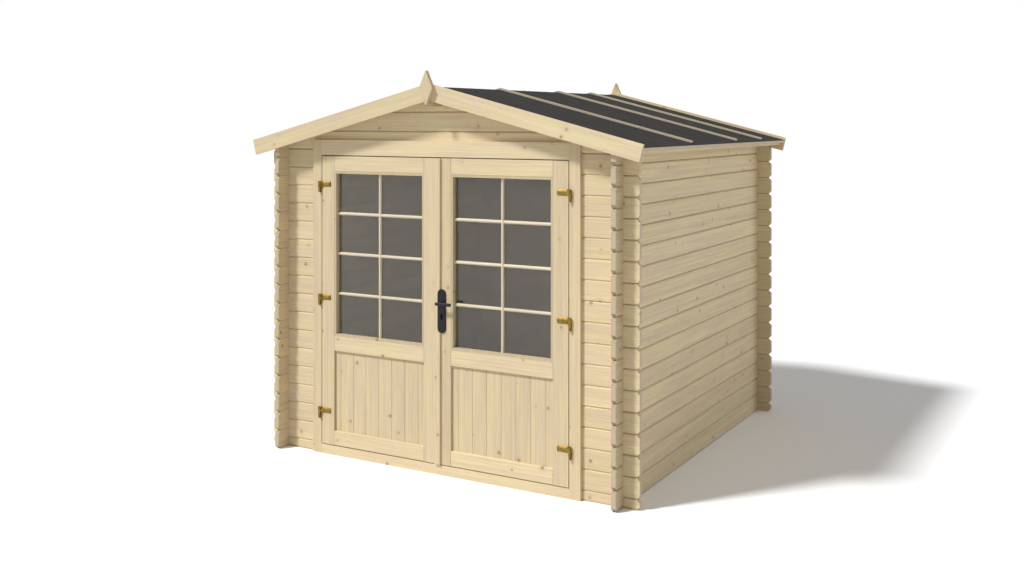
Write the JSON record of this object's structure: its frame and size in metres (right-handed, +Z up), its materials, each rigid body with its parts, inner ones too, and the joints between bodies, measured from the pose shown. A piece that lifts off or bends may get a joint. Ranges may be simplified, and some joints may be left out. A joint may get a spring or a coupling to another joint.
{
  "type": "garden shed",
  "caption": "Small garden shed of cross-notched pine logs with a felted gable roof and a pair of half-glazed doors that open outwards.",
  "frame": {"origin": "middle of the plan, on the ground under the walls", "axes": "+Z up, +X to the right seen from in front of the doors, the doors face -Y"},
  "size_m": [2.6704, 2.636, 2.3456],
  "materials": {
    "pine": "planed, untreated",
    "felt": "bitumen felt",
    "window_glass": "clear",
    "brassed_hinge": "satin",
    "dark_handle": "satin",
    "steel": "plain"
  },
  "bodies": {
    "shed": {"left_wall": "pine", "right_wall": "pine", "back_wall": "pine", "front_wall_left": "pine", "front_wall_right": "pine", "front_base_log": "pine", "front_gable": "pine", "back_gable": "pine", "ridge_purlin": "pine", "roof_deck_left": "pine", "roof_deck_right": "pine", "roof_battens_left": "pine", "roof_battens_right": "pine", "eave_laths": "pine", "front_bargeboard_left": "pine", "front_bargeboard_right": "pine", "back_bargeboard_left": "pine", "back_bargeboard_right": "pine", "front_finial": "pine", "back_finial": "pine", "floor_deck": "pine", "floor_joists": "pine", "door_jamb_left": "pine", "door_jamb_right": "pine", "door_head": "pine", "door_sill": "pine", "roof_felt": "felt", "left_hinge_pintles": "brassed_hinge", "right_hinge_pintles": "brassed_hinge"},
    "left_door": {"left_door_stiles": "pine", "left_door_rails": "pine", "left_door_panel": "pine", "left_door_beads": "pine", "left_door_glass": "window_glass", "left_hinge_straps": "brassed_hinge"},
    "right_door": {"right_door_stiles": "pine", "right_door_rails": "pine", "right_door_panel": "pine", "right_door_beads": "pine", "right_door_glass": "window_glass", "right_hinge_straps": "brassed_hinge", "meeting_strip": "pine", "handle_plates": "dark_handle"},
    "door_handle": {"handle_levers": "dark_handle", "handle_spindle": "steel"}
  },
  "joints": [
    {"name": "left_door_swing", "type": "hinge", "parent": "shed", "child": "left_door", "pos_m": [-0.868, -1.205, 0.95], "axis": [0, 0, -1], "range_deg": [0, 160]},
    {"name": "right_door_swing", "type": "hinge", "parent": "shed", "child": "right_door", "pos_m": [0.868, -1.205, 0.95], "axis": [0, 0, 1], "range_deg": [0, 160]},
    {"name": "handle_turn", "type": "hinge", "parent": "right_door", "child": "door_handle", "pos_m": [0.035, -1.205, 1], "axis": [0, 1, 0], "range_deg": [0, 40], "stiffness_Nm_per_rad": 1, "springref_deg": -28.65}
  ]
}
